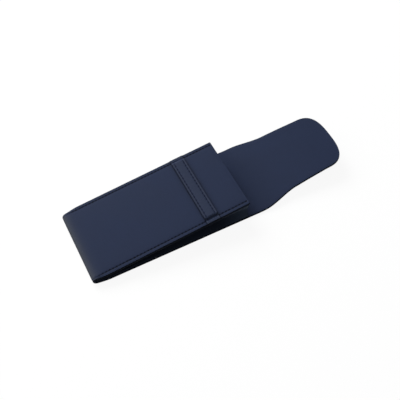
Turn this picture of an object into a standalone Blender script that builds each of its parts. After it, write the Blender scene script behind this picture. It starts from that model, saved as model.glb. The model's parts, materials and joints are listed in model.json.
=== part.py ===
"""Leather watch pouch: a wraparound body, pleated side gussets, a keeper band and a two-part flap.

The pouch lies on its back panel on z = 0, closed end towards -Y, flap towards +Y. Lengths are in
metres. One hide makes the front, the bottom fold, the back and the flap. The flap is split at its
two fold lines, where it turns about the inner face of the leather.
"""
import math

import bmesh
import bpy

# Body
BODY_WIDTH = 0.0765
BODY_LENGTH = 0.1515
MOUTH_HEIGHT = 0.0255
FOLD_RADIUS = 0.00425

# Layers, from the outside in, and the glue line between them
HIDE = 0.0012
BOARD = 0.0004
LINING = 0.0006
GLUE = 0.0002
BOARD_INSET = 0.0015
BOARD_FOLD_INSET = 0.006
EDGE_ROUND = 0.0003

# Stitched seams: a thread lies in a groove of the hide
SEAM_INSET = 0.00325
GROOVE_WIDTH = 0.0011
GROOVE_DEPTH = 0.0007
THREAD_RADIUS = 0.0002
THREAD_END_INSET = 0.0015

# Side gussets
GUSSET_HIDE = 0.0006
GUSSET_SET_IN = 0.0003
GUSSET_FLANGE = 0.0046
GUSSET_TURN = 0.00045
PLEAT_CREASE = 0.0004
PLEAT_RISE = 0.0005
GUSSET_MOUTH_INSET = 0.0006

# Keeper band across the front
BAND_WIDTH = 0.0129
BAND_FROM_MOUTH = 0.0360
BAND_BACKING = 0.0004
BAND_BACKING_INSET = 0.0006
BAND_SEAM_INSET = 0.0022
BAND_STEP_INSET = 0.00435
BAND_STEP_RUN = 0.0012
BAND_END_HIDE = 0.0008
BAND_END_GROOVE_DEPTH = 0.0006
BAND_GROOVE_END_INSET = 0.0005
THREAD_STEP_CLEARANCE = 0.0005
THREAD_STEP_RUN = 0.0008

# Flap: a neck over the mouth, then a tongue that narrows to a rounded end
FLAP_LENGTH = 0.1095
SHOULDER_START = 0.018
SHOULDER_END = 0.0555
TONGUE_WIDTH = 0.0644
TIP_WIDTH = 0.0614
TIP_LENGTH = 0.0215
MOUTH_CLEARANCE = 0.0008
TUCK_CLEARANCE = 0.0004
FOLD_GAP = 0.0003
FLAP_LIFT = math.radians(8)

# How far a cutter reaches past what it cuts
OVERRUN = 0.001

# Finishes: base colour and roughness
LEATHER_FINISH = ((0.026, 0.033, 0.068), 0.5)
LINING_FINISH = ((0.030, 0.038, 0.078), 0.6)
BOARD_FINISH = ((0.22, 0.15, 0.09), 0.9)
THREAD_FINISH = ((0.012, 0.016, 0.040), 0.7)

# Shape constants
TIP_POWER = 2.95
PLEAT_SLACK_SHARE = 1.02
GUSSET_START_SHARE = 0.8
GUSSET_STATION_SHARES = (0, 0.012, 0.022, 0.032, 0.045, 0.065, 0.09, 0.14, 0.22, 0.34, 0.5, 0.66, 0.82, 1)
FOLD_STEPS = 14
TURN_STEPS = 4
SHOULDER_STEPS = 8
TIP_STEPS = 12
BEVEL_SEGMENTS = 2
SHARP_ANGLE = math.radians(50)
SIDES = {"left": -1, "right": 1}

# Worked out from the sizes above
HALF_WIDTH = BODY_WIDTH / 2
BOARD_DEPTH = HIDE + GLUE
LINING_DEPTH = BOARD_DEPTH + BOARD + GLUE
PANEL = LINING_DEPTH + LINING
SEAM_X = HALF_WIDTH - SEAM_INSET
THREAD_DEPTH = GROOVE_DEPTH - GLUE - THREAD_RADIUS
MOUTH_REACH = math.hypot(BODY_LENGTH - FOLD_RADIUS, MOUTH_HEIGHT - FOLD_RADIUS)
MOUTH_BEARING = math.atan2(MOUTH_HEIGHT - FOLD_RADIUS, BODY_LENGTH - FOLD_RADIUS)
FRONT_PITCH = MOUTH_BEARING - math.asin(FOLD_RADIUS / MOUTH_REACH)
FRONT_RUN = math.sqrt(MOUTH_REACH ** 2 - FOLD_RADIUS ** 2)
BAND_RAISE = GLUE + BAND_BACKING + GLUE
BAND_TOP = BAND_RAISE + HIDE
BAND_MARGIN_TOP = GLUE + BAND_END_HIDE
BAND_NEAR_MOUTH = BAND_FROM_MOUTH - BAND_WIDTH / 2
BAND_NEAR_FOLD = BAND_FROM_MOUTH + BAND_WIDTH / 2
BAND_STEP_OUT = HALF_WIDTH - BAND_STEP_INSET
BAND_STEP_IN = BAND_STEP_OUT - BAND_STEP_RUN
FLAP_FOLD_Y = BODY_LENGTH + MOUTH_CLEARANCE
BACK_END = FLAP_FOLD_Y - FOLD_GAP
TUCK_HEIGHT = (BAND_TOP + TUCK_CLEARANCE) / math.cos(FRONT_PITCH)
NECK_LENGTH = MOUTH_HEIGHT + MOUTH_CLEARANCE * math.tan(FRONT_PITCH) + TUCK_HEIGHT - PANEL
TIP_START = FLAP_LENGTH - TIP_LENGTH
OVERALL_LENGTH = FLAP_FOLD_Y + FLAP_LENGTH * math.cos(FLAP_LIFT) + PANEL * math.sin(FLAP_LIFT)
BAND_ROWS = {
    "lower": -BAND_NEAR_FOLD + BAND_SEAM_INSET,
    "upper": -BAND_NEAR_MOUTH - BAND_SEAM_INSET,
}


def clear_scene():
    for item in list(bpy.data.objects):
        bpy.data.objects.remove(item, do_unlink=True)


def make_collection(name):
    collection = bpy.data.collections.new(name)
    bpy.context.scene.collection.children.link(collection)
    return collection


def make_material(name, colour, roughness):
    material = bpy.data.materials.new(name)
    material.use_nodes = True
    shader = material.node_tree.nodes["Principled BSDF"]
    shader.inputs["Base Color"].default_value = (*colour, 1)
    shader.inputs["Roughness"].default_value = roughness
    shader.inputs["Metallic"].default_value = 0
    material.diffuse_color = (*colour, 1)
    return material


def make_frame(name, parent=None, location=(0, 0, 0), pitch=0):
    """An empty that carries pieces: moved to location and turned about X by pitch."""
    frame = bpy.data.objects.new(name, None)
    parts.objects.link(frame)
    frame.parent = parent
    frame.location = location
    frame.rotation_euler = (pitch, 0, 0)
    return frame


def place(name, data, frame, finish=None):
    """Add an object to its frame: a part if it has a finish, else a cutter."""
    item = bpy.data.objects.new(name, data)
    item.parent = frame
    if finish:
        parts.objects.link(item)
        item.data.materials.append(make_material(name, *finish))
    else:
        cutters.objects.link(item)
        item.hide_render = True
        item.display_type = "WIRE"
    return item


def loft_mesh(name, *surfaces):
    """Open surfaces, each through sections of equal length.

    A surface faces along (next point) x (next section).
    """
    bm = bmesh.new()
    for sections in surfaces:
        rows = [[bm.verts.new(point) for point in section] for section in sections]
        for row, following in zip(rows, rows[1:]):
            for k in range(len(row) - 1):
                bm.faces.new((row[k], row[k + 1], following[k + 1], following[k]))
    mesh = bpy.data.meshes.new(name)
    bm.to_mesh(mesh)
    bm.free()
    return mesh


def face_mesh(name, points):
    """One flat face that its points go round anticlockwise, seen from in front of it."""
    bm = bmesh.new()
    bm.faces.new([bm.verts.new(point) for point in points])
    mesh = bpy.data.meshes.new(name)
    bm.to_mesh(mesh)
    bm.free()
    return mesh


def outline_mesh(name, outline, level):
    """A face that looks up, at one level."""
    return face_mesh(name, [(x, y, level) for x, y in outline])


def thicken(item, thickness, offset=-1):
    solidify = item.modifiers.new("thickness", "SOLIDIFY")
    solidify.thickness = thickness
    solidify.offset = offset
    solidify.use_even_offset = True


def round_edges(item):
    bevel = item.modifiers.new("rounded edges", "BEVEL")
    bevel.width = EDGE_ROUND
    bevel.segments = BEVEL_SEGMENTS
    bevel.limit_method = "ANGLE"
    bevel.angle_limit = SHARP_ANGLE


def cut(item, cutter):
    boolean = item.modifiers.new(cutter.name, "BOOLEAN")
    boolean.operation = "DIFFERENCE"
    boolean.solver = "EXACT"
    boolean.object = cutter


def smooth_shade(item):
    item.data.shade_smooth()
    item.data.set_sharp_from_angle(angle=SHARP_ANGLE)


def box_cutter(name, frame, boxes):
    """Boxes that don't meet, each between two corners given in the frame's axes."""
    bm = bmesh.new()
    for low, high in boxes:
        size = [b - a for a, b in zip(low, high)]
        middle = [(a + b) / 2 for a, b in zip(low, high)]
        made = bmesh.ops.create_cube(bm, size=1)["verts"]
        bmesh.ops.scale(bm, vec=size, verts=made)
        bmesh.ops.translate(bm, vec=middle, verts=made)
    mesh = bpy.data.meshes.new(name)
    bm.to_mesh(mesh)
    bm.free()
    return place(name, mesh, frame)


def thread(name, frame, points):
    """A sewing thread as a tube along straight runs."""
    curve = bpy.data.curves.new(name, "CURVE")
    curve.dimensions = "3D"
    curve.bevel_depth = THREAD_RADIUS
    curve.bevel_resolution = 1
    curve.use_fill_caps = True
    spline = curve.splines.new("POLY")
    spline.points.add(len(points) - 1)
    for target, point in zip(spline.points, points):
        target.co = (*point, 1)
    return place(name, curve, frame, THREAD_FINISH)


def mix(low, high, share):
    return low + (high - low) * share


def smooth_step(share):
    held = min(max(share, 0), 1)
    return held * held * (3 - 2 * held)


def front_point(run, height):
    """(y, z) of a point on the front: run back from the mouth edge, height above the hide."""
    y = BODY_LENGTH - run * math.cos(FRONT_PITCH) - height * math.sin(FRONT_PITCH)
    z = MOUTH_HEIGHT - run * math.sin(FRONT_PITCH) + height * math.cos(FRONT_PITCH)
    return y, z


def wrap_path(depth, mouth_run=0, back_end=BACK_END):
    """(y, z) points of a layer of the body, from the front's mouth edge round the fold to the back."""
    radius = FOLD_RADIUS - depth
    start_angle = math.pi / 2 + FRONT_PITCH
    end_angle = math.pi * 3 / 2
    path = [front_point(mouth_run, -depth)]
    for step in range(FOLD_STEPS + 1):
        angle = mix(start_angle, end_angle, step / FOLD_STEPS)
        path.append((FOLD_RADIUS + radius * math.cos(angle), FOLD_RADIUS + radius * math.sin(angle)))
    path.append((back_end, depth))
    return path


def wrap_strip(path, x_low, x_high):
    return [[(x, y, z) for y, z in path] for x in (x_low, x_high)]


def body_layer(name, depth, thickness, finish):
    strip = wrap_strip(wrap_path(depth), -HALF_WIDTH, HALF_WIDTH)
    item = place(name, loft_mesh(name, strip), body_frame, finish)
    thicken(item, thickness)
    return item


def seam_grooves():
    """Cutter of the two grooves that run down the front, round the fold and along the back."""
    path = wrap_path(GROOVE_DEPTH, mouth_run=-OVERRUN, back_end=BACK_END + OVERRUN)
    half_groove = GROOVE_WIDTH / 2
    middles = [side * SEAM_X for side in SIDES.values()]
    strips = [wrap_strip(path, x - half_groove, x + half_groove) for x in middles]
    cutter = place("seam_grooves", loft_mesh("seam_grooves", *strips), body_frame)
    thicken(cutter, GROOVE_DEPTH + OVERRUN, offset=1)
    return cutter


def make_body():
    leather = body_layer("body_leather", 0, HIDE, LEATHER_FINISH)
    round_edges(leather)
    cut(leather, seam_grooves())
    body_layer("body_lining", LINING_DEPTH, LINING, LINING_FINISH)


def board(name, frame, x_half, y_low, y_high, level):
    """A flat leatherboard whose upper face is at level."""
    outline = [(-x_half, y_low), (x_half, y_low), (x_half, y_high), (-x_half, y_high)]
    item = place(name, outline_mesh(name, outline, level), frame, BOARD_FINISH)
    thicken(item, BOARD)


def make_boards():
    x_half = HALF_WIDTH - BOARD_INSET
    board("front_board", front_frame, x_half, -FRONT_RUN, -BOARD_INSET, -BOARD_DEPTH)
    board("back_board", body_frame, x_half, FOLD_RADIUS, FLAP_FOLD_Y - BOARD_FOLD_INSET, BOARD_DEPTH + BOARD)


def gusset_levels(y):
    """Heights of the middles of the lower and upper flange, a glue line off the lining."""
    depth = PANEL + GLUE + GUSSET_HIDE / 2
    radius = FOLD_RADIUS - depth
    reach = math.sqrt(max(radius ** 2 - (FOLD_RADIUS - y) ** 2, 0))
    tangent_y = FOLD_RADIUS - radius * math.sin(FRONT_PITCH)
    tangent_z = FOLD_RADIUS + radius * math.cos(FRONT_PITCH)
    low = depth if y > FOLD_RADIUS else FOLD_RADIUS - reach
    high = tangent_z + (y - tangent_y) * math.tan(FRONT_PITCH) if y > tangent_y else FOLD_RADIUS + reach
    return low, high


def pleat_depth(half_height, mouth_half_height):
    """How far the pleat goes in: the wall is as long everywhere as at the mouth."""
    shallowest = 2 * GUSSET_TURN + PLEAT_CREASE
    wall = mouth_half_height * PLEAT_SLACK_SHARE
    full = math.sqrt(wall ** 2 - half_height ** 2)
    return full * smooth_step((half_height - shallowest) / PLEAT_RISE)


def gusset_section(y, mouth_half_height):
    """(x, z) points of a gusset's middle at y: upper flange, turn, pleat, turn, lower flange."""
    low, high = gusset_levels(y)
    half_height = (high - low) / 2
    outer = HALF_WIDTH - GUSSET_SET_IN - GUSSET_HIDE / 2
    centre_x = outer - GUSSET_TURN
    centre_z = half_height - GUSSET_TURN
    apex_x = outer - pleat_depth(half_height, mouth_half_height)
    apex_z = min(PLEAT_CREASE, half_height / 2)
    reach = math.hypot(apex_x - centre_x, apex_z - centre_z)
    bearing = math.atan2(apex_z - centre_z, apex_x - centre_x)
    leave = bearing + math.acos(min(GUSSET_TURN / reach, 1))
    if bearing > math.pi / 2:
        leave -= 2 * math.pi
    half = [(outer - GUSSET_FLANGE, half_height)]
    for step in range(TURN_STEPS + 1):
        angle = mix(math.pi / 2, leave, step / TURN_STEPS)
        half.append((centre_x + GUSSET_TURN * math.cos(angle), centre_z + GUSSET_TURN * math.sin(angle)))
    half.append((apex_x, apex_z))
    middle = (low + high) / 2
    upper = [(x, middle + z) for x, z in half]
    lower = [(x, middle - z) for x, z in reversed(half)]
    return upper + lower


def make_gusset(name, side):
    depth = PANEL + GLUE + GUSSET_HIDE / 2
    start = FOLD_RADIUS - (FOLD_RADIUS - depth) * GUSSET_START_SHARE
    end = BODY_LENGTH - GUSSET_MOUTH_INSET
    low, high = gusset_levels(end)
    sections = []
    for share in GUSSET_STATION_SHARES:
        y = mix(start, end, share)
        section = gusset_section(y, (high - low) / 2)
        sections.append([(side * x, y, z) for x, z in section])
    if side > 0:
        sections.reverse()
    item = place(name, loft_mesh(name, sections), body_frame, LEATHER_FINISH)
    thicken(item, GUSSET_HIDE, offset=0)
    smooth_shade(item)


def make_band():
    """The keeper band: thin ends sewn down, raised between them so that the tongue goes under."""
    underside = [(HALF_WIDTH, GLUE), (BAND_STEP_OUT, GLUE), (BAND_STEP_IN, BAND_RAISE)]
    topside = [(BAND_STEP_IN, BAND_TOP), (BAND_STEP_OUT, BAND_MARGIN_TOP), (HALF_WIDTH, BAND_MARGIN_TOP)]
    under = [(-x, z) for x, z in underside] + underside[::-1]
    over = topside[::-1] + [(-x, z) for x, z in topside]
    profile = [(x, -BAND_NEAR_FOLD, z) for x, z in under + over]
    band = place("keeper_band", face_mesh("keeper_band", profile), front_frame, LEATHER_FINISH)
    thicken(band, BAND_WIDTH)
    round_edges(band)
    half_groove = GROOVE_WIDTH / 2
    groove_reach = BAND_STEP_IN - BAND_GROOVE_END_INSET
    grooves = []
    for x in (side * SEAM_X for side in SIDES.values()):
        low = (x - half_groove, -BAND_NEAR_FOLD - OVERRUN, BAND_MARGIN_TOP - BAND_END_GROOVE_DEPTH)
        high = (x + half_groove, -BAND_NEAR_MOUTH + OVERRUN, BAND_TOP + OVERRUN)
        grooves.append((low, high))
    for y in BAND_ROWS.values():
        low = (-groove_reach, y - half_groove, BAND_TOP - GROOVE_DEPTH)
        high = (groove_reach, y + half_groove, BAND_TOP + OVERRUN)
        grooves.append((low, high))
    cut(band, box_cutter("band_grooves", front_frame, grooves))
    x_half = BAND_STEP_IN - BAND_BACKING_INSET
    y_low = -BAND_NEAR_FOLD + BAND_BACKING_INSET
    y_high = -BAND_NEAR_MOUTH - BAND_BACKING_INSET
    outline = [(-x_half, y_low), (x_half, y_low), (x_half, y_high), (-x_half, y_high)]
    mesh = outline_mesh("keeper_band_backing", outline, GLUE + BAND_BACKING)
    thicken(place("keeper_band_backing", mesh, front_frame, LINING_FINISH), BAND_BACKING)


def make_threads():
    hop_out = THREAD_STEP_CLEARANCE + THREAD_STEP_RUN
    over = BAND_MARGIN_TOP - THREAD_DEPTH
    front_run = [
        (THREAD_END_INSET, -THREAD_DEPTH),
        (BAND_NEAR_MOUTH - hop_out, -THREAD_DEPTH),
        (BAND_NEAR_MOUTH - THREAD_STEP_CLEARANCE, over),
        (BAND_NEAR_FOLD + THREAD_STEP_CLEARANCE, over),
        (BAND_NEAR_FOLD + hop_out, -THREAD_DEPTH),
        (FRONT_RUN, -THREAD_DEPTH),
    ]
    back_ends = (FOLD_RADIUS, BACK_END - THREAD_END_INSET)
    for side, x in SIDES.items():
        seam_x = x * SEAM_X
        thread(f"thread_front_{side}", front_frame, [(seam_x, -run, height) for run, height in front_run])
        thread(f"thread_back_{side}", body_frame, [(seam_x, y, THREAD_DEPTH) for y in back_ends])
    reach = BAND_STEP_IN - THREAD_END_INSET
    for row, y in BAND_ROWS.items():
        height = BAND_TOP - THREAD_DEPTH
        thread(f"thread_band_{row}", front_frame, [(-reach, y, height), (reach, y, height)])


def flap_half_width(along):
    """Half the flap's width at a distance from the first fold line, up to the rounded end."""
    if along < SHOULDER_END:
        share = smooth_step((along - SHOULDER_START) / (SHOULDER_END - SHOULDER_START))
        return mix(BODY_WIDTH, TONGUE_WIDTH, share) / 2
    return mix(TONGUE_WIDTH, TIP_WIDTH, (along - SHOULDER_END) / (TIP_START - SHOULDER_END)) / 2


def flap_side(start, end, inset):
    """(x, along) points of the flap's right edge, from start to the straight end or the tip."""
    tongue = end >= FLAP_LENGTH
    straight_end = SHOULDER_END if tongue else end
    points = []
    for step in range(SHOULDER_STEPS + 1):
        along = mix(start, straight_end, step / SHOULDER_STEPS)
        points.append((flap_half_width(along) - inset, along))
    if tongue:
        half_width = TIP_WIDTH / 2 - inset
        length = TIP_LENGTH - inset
        for step in range(TIP_STEPS):
            angle = math.pi / 2 * step / TIP_STEPS
            x = half_width * math.cos(angle) ** (2 / TIP_POWER)
            points.append((x, TIP_START + length * math.sin(angle) ** (2 / TIP_POWER)))
    return points


def flap_layer(name, frame, start, end, origin, depth, thickness, finish, inset=0):
    """A flat layer of the flap: depth below the inner face, its outline measured from origin."""
    right = flap_side(start, end, inset)
    left = [(-x, along) for x, along in reversed(right)]
    crown = [(0, FLAP_LENGTH - inset)] if end >= FLAP_LENGTH else []
    outline = [(x, along - origin) for x, along in right + crown + left]
    item = place(name, outline_mesh(name, outline, -depth), frame, finish)
    thicken(item, thickness)
    return item


def make_flap():
    hide_depth = PANEL - HIDE
    board_depth = LINING + GLUE
    neck = (neck_frame, FOLD_GAP, NECK_LENGTH - FOLD_GAP, 0)
    tongue = (tongue_frame, NECK_LENGTH + FOLD_GAP, FLAP_LENGTH, NECK_LENGTH)
    for name, stretch in (("flap_neck", neck), ("flap_tongue", tongue)):
        leather = flap_layer(f"{name}_leather", *stretch, hide_depth, HIDE, LEATHER_FINISH)
        round_edges(leather)
        flap_layer(f"{name}_lining", *stretch, 0, LINING, LINING_FINISH)
    board_start = NECK_LENGTH + BOARD_FOLD_INSET
    stretch = (tongue_frame, board_start, FLAP_LENGTH, NECK_LENGTH)
    flap_layer("flap_tongue_board", *stretch, board_depth, BOARD, BOARD_FINISH, inset=BOARD_INSET)


clear_scene()
parts = make_collection("watch_pouch")
cutters = make_collection("cutters")
body_frame = make_frame("body_frame", location=(0, -OVERALL_LENGTH / 2, 0))
front_frame = make_frame("front_frame", body_frame, (0, BODY_LENGTH, MOUTH_HEIGHT), FRONT_PITCH)
neck_frame = make_frame("flap_fold_axis", body_frame, (0, FLAP_FOLD_Y, PANEL), FLAP_LIFT)
tongue_frame = make_frame("tongue_fold_axis", neck_frame, (0, NECK_LENGTH, 0))
make_body()
make_boards()
for side_name, side_sign in SIDES.items():
    make_gusset(f"gusset_{side_name}", side_sign)
make_band()
make_threads()
make_flap()
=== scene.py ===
"""Looks of the leather watch pouch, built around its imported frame.

The leather parts are cut from flat patterns, as the real ones are. A pattern's grid is laid on the
line that the hide follows: down the front from its mouth edge, round the fold, along the back and
out along the flap. On a pattern, x runs across the pouch, s along that line, and depth goes into
the pouch from the hide's outer face. Lengths are in metres.
"""
import math

import bpy
import numpy as np
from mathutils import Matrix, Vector, noise
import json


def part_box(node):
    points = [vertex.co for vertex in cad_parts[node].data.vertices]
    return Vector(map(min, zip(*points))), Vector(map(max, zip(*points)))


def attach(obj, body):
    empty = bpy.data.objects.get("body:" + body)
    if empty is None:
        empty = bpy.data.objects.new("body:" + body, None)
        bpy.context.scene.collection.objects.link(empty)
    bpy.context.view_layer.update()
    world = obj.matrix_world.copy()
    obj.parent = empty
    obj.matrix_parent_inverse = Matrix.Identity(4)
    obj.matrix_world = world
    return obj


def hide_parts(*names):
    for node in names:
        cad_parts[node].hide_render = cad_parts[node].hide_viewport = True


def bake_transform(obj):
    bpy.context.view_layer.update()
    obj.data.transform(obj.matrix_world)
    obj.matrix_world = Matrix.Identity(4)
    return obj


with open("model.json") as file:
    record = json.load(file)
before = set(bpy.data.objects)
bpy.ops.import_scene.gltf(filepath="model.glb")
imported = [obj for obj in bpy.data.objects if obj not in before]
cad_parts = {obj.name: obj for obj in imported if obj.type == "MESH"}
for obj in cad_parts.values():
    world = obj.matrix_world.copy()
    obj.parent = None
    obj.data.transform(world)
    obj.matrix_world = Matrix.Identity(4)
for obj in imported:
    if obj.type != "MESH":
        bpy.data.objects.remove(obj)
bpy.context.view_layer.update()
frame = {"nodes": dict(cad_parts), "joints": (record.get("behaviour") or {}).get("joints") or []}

# The camera that fits the photograph
CAMERA_AIM = Vector((0.0005, -0.0093, 0))
CAMERA_DISTANCE = 0.6496
CAMERA_AZIMUTH = math.radians(-27.1)
CAMERA_ELEVATION = math.radians(56.6)
CAMERA_LENS = 63
SENSOR_WIDTH = 36

# Studio
KEY_PLACE = (-1.35, -0.28, 1.16)
KEY_SIZE = 1.0
KEY_POWER = 39.5
CARD_PLACE = (-0.9, -1.35, 0.8)
CARD_SIZE = 0.9
CARD_POWER = 10
WORLD_STRENGTH = 0.22
WHITE = (1, 1, 1, 1)
FLOOR_SIZE = 4
FLOOR_COLOUR = (0.3, 0.3, 0.3)
FLOOR_WHITE_SHARE = 0.92

# Body, as in the CAD
BODY_LENGTH = 0.1515
MOUTH_HEIGHT = 0.0255
FOLD_RADIUS = 0.00425
HIDE = 0.0012
BOARD = 0.0004
GLUE = 0.0002
BOARD_DEPTH = HIDE + GLUE
LINING_DEPTH = BOARD_DEPTH + BOARD + GLUE

# Rounded corners at the mouth's edge, and edges drawn in round the closed end
CORNER_RADIUS = 0.0011
CORNER_POWER = 2.3
FOLD_PINCH = 0.0022
FOLD_PINCH_RUN = 0.018
FOLD_PINCH_POWER = 1.4

# Flap, as in the CAD. Its board starts this far from the first fold line
FLAP_LENGTH = 0.1095
SHOULDER_START = 0.018
SHOULDER_END = 0.0555
TONGUE_WIDTH = 0.0644
TIP_WIDTH = 0.0614
TIP_LENGTH = 0.0215
TIP_POWER = 2.95
BOARD_START = 0.0314
BOARD_INSET = 0.0015

# How the open flap lies: flat, then bent up, straight, and easing off towards its tip
FLAP_FLAT_RUN = 0.0112
FLAP_RISE_RUN = 0.012
FLAP_RISE = math.radians(11.3)
FLAP_STRAIGHT_RUN = 0.025
FLAP_EASE = math.radians(-6.8)
FLAP_SLACK = 0.0005

# Where hide and lining are split between the two folds
SPLIT_ALONG = 0.0135

# Gussets, as in the CAD, with walls that bow and that soften towards the mouth
GUSSET_HIDE = 0.0006
GUSSET_SET_IN = 0.0003
GUSSET_FLANGE = 0.0046
GUSSET_TURN = 0.00045
GUSSET_START_SHARE = 0.8
GUSSET_MOUTH_INSET = 0.0006
PLEAT_CREASE = 0.0004
PLEAT_RISE = 0.0005
PLEAT_SLACK_SHARE = 1.02
PLEAT_SOFT_START = 0.08
WALL_BOW_SHARE = 0.035

# Strap across the front, as in the CAD, but with flatter ends and longer steps
STRAP_WIDTH = 0.0129
STRAP_FROM_MOUTH = 0.0360
STRAP_RAISE = 0.0008
STRAP_TOP = 0.0020
STRAP_END_TOP = 0.00045
STRAP_STEP_OUT = 0.0347
STRAP_STEP_IN = 0.0324
STRAP_INNER_RUN = 0.0012
STRAP_SEAM_INSET = 0.0022
STRAP_ROW_INSET = 0.0006
STRAP_GROOVE_DEPTH = 0.00022
STRAP_GROOVE_SPREAD = 0.00048
STRAP_END_GROOVE = 0.0003
STRAP_CROWN = 0.00018
STRAP_EDGE_FALL = 0.00016

# Seams
SEAM_INSET = 0.0032
SEAM_START = 0.0022
SEAM_BACK_INSET = 0.0024
SEAM_PITCH = 0.00333
SEAM_FADE = 2 * SEAM_PITCH / 3
STRAP_PITCH = 0.00375
STRAP_ROW_SHIFT = 0.0014
GROOVE_DEPTH = 0.00015
GROOVE_SPREAD = 0.00058
SEAM_PULL = 0.00012
SEAM_PULL_SPREAD = 0.0026
HOLE_PULL = 0.00025
HOLE_SPREAD = 0.00055
HOLE_POWER = 2.0
FOLD_LEAD = 0.012
FOLD_GROOVE_SHARE = 0.38

# Stitches
STITCH_SHARE = 0.66
STITCH_SLANT = math.radians(7)
STITCH_THIN_SHARE = 0.25
STITCH_THIN_POWER = 3
STITCH_RINGS = 11
STITCH_SIDES = 8
THREAD_RADIUS = 0.00034
THREAD_SINK = 0.00002
FOLD_THREAD_SINK = 0.0002
THREAD_DIVE = 0.0009
THREAD_DIVE_POWER = 4
PLY_SHARE = 0.10
PLY_TURN = 2.6

# Softness of the leather
EDGE_FALL = 0.00016
EDGE_FALL_SPREAD = 0.0011
CORNER_FALL = 0.00038
CORNER_FALL_LEAD = 0.0028
CORNER_FALL_SPREAD = 0.0035
FRONT_CROWN = 0.00025
FRONT_CROWN_POWER = 0.5
CROWN_MOUTH_RUN = 0.004
CROWN_FOLD_RUN = 0.012
WAVE_HEIGHT = 0.00012
WAVE_LENGTH = 0.045
FLAP_WAVE_HEIGHT = 0.00022
FLAP_WAVE_LEAD = 0.01
STRAP_WAVE_SHARE = 0.6
GUSSET_WAVE_HEIGHT = 0.00016
GUSSET_WAVE_LENGTH = 0.016
GUSSET_WAVE_STRETCH_SHARE = 0.8
GUSSET_WAVE_START = 0.01
GUSSET_WAVE_LEAD = 0.03
HIDE_SEED = 3.1
LINING_SEED = 7.7
GUSSET_SEED = 5.5
STRAP_SEED = 1.3

# Painted light and shade: painted shade in grooves and holes, a painted sheen round the closed end, painted
# shade beside the strap, a painted sheen on the strap and painted highlights on its rims, painted light at
# the gussets' mouth ends and painted shade at their closed ends
GROOVE_SHADE_SHARE = 0.56
HOLE_SHADE_SHARE = 0.55
SHEEN_ANGLE = math.radians(55)
SHEEN_SPREAD = 0.0039
SHEEN_POWER = 1.3
STRAP_SHEEN_SHARE = 0.14
STRAP_RIM_INSET = 0.0012
STRAP_RIM_SPREAD = 0.0005
STRAP_RIM_HIGHLIGHT_SHARE = 0.20
STRAP_GROOVE_SHADE_SHARE = 0.08
STRAP_HOLE_SHADE_SHARE = 1.1
STRAP_SHADOW_LINE_SPREAD = 0.0006
STRAP_SHADOW_LINE_SHARE = 0.60
STRAP_SHADE_SPREAD = 0.0028
STRAP_SHADE_SHARE = 0.16
GUSSET_MOUTH_LIGHT_SHARE = 0.8
GUSSET_MOUTH_LIGHT_RUN = 0.03
GUSSET_END_SHADE_SHARE = -0.30
GUSSET_END_SHADE_RUN = 0.045

# Painted edges
PAINT_REACH = 0.00018
PAINT_PROUD = 0.00004
PAINT_POWER = 0.62
PAINT_STEPS = 10
PAINT_MOUTH_LIGHT_RUN = 0.03
PAINT_FOLD_SHEEN_SHARE = 0.9

# Grids
TINY = 1e-12
ROW_TOLERANCE = 1e-6
SHARP_ANGLE = math.radians(50)
PAINT_SHARP_ANGLE = math.radians(70)
SEAM_ROW_STEP = SEAM_PITCH / 6
STRAP_COLUMN_STEP = STRAP_PITCH / 8
STRAP_ROW_STEP = 0.0008
STRAP_PAINT_STEP = 0.001
FLAP_ROW_STEP = 0.0016
LINING_ROW_STEP = 0.0024
PAINT_ROW_STEP = 0.002
PAINT_TIP_STEP_SHARE = 0.05
COLUMN_STEP = 0.0030
EDGE_ZONE = 0.0075
LINING_FOLD_ROWS = 16
PAINT_FOLD_ROWS = 20
CORNER_ROWS = 6
GUSSET_ROWS = 90
GUSSET_ROW_POWER = 1.5
FLANGE_STEPS = 4
TURN_STEPS = 8
WALL_STEPS = 12
GROOVE_STEPS = (-0.0010, -0.0007, -0.0005, -0.0003, -0.00015, 0, 0.00015, 0.0003, 0.0005, 0.0007, 0.0010)
SEAM_INSETS = tuple(SEAM_INSET + step for step in GROOVE_STEPS)
EDGE_INSETS = (0.0002, 0.0005, 0.0009, 0.0014, *SEAM_INSETS, 0.0047, 0.0056, 0.0065)
PLAIN_EDGE_INSETS = (0.0002, 0.0005, 0.0010, 0.0018, 0.0030, 0.0046, 0.0060)
PAINT_INSETS = (0, 0.0002, 0.0004, 0.0006, 0.0009, 0.0016, 0.003, 0.005)
STRAP_INSETS = (0.0002, 0.0005, 0.0009, *(STRAP_SEAM_INSET + step for step in GROOVE_STEPS), 0.004)
STRAP_PAINT_INSETS = (0, 0.0004, 0.0008, 0.0016, 0.0026, 0.0034, 0.004, 0.005, 0.006)

# Materials: the range that a noise's values mostly keep to, and the grain of all leathers
NOISE_LOW = 0.3
NOISE_HIGH = 0.7
FINE_GRAIN_SCALE = 2.6
FINE_GRAIN_HEIGHT = 0.00004
PEBBLE_EDGE_SHARE = 0.22
PEBBLE_HEIGHT = 0.00005
CREASE_SCALE = 90
CREASE_HEIGHT = 0.0004
CREASE_STRENGTH = 0.12
CLOUD_SCALE = 38
CLOUD_ROUGHNESS = 0.6
MOTTLE_SHARE = 0.05
VALLEY_EDGE_SHARE = 0.12
VALLEY_TONE_SHARE = 0.86
# How dark the painted shade makes a colour at its darkest
DARKEST_SHADE_SHARE = 0.1
ROUGHNESS_SPREAD = 0.04
HIDE_FINISH = {
    "colour": (0.0180, 0.0260, 0.0560),
    # The paler, greyer colour below is a painted sheen and painted highlight
    "painted_light_colour": (0.055, 0.0615, 0.077),
    "roughness": 0.62,
    "specular": 0.05,
    "grain": 0.0006,
    "grain_strength": 0.5,
}
LINING_FINISH = {**HIDE_FINISH, "roughness": 0.64, "grain": 0.00045, "grain_strength": 0.35}
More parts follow.
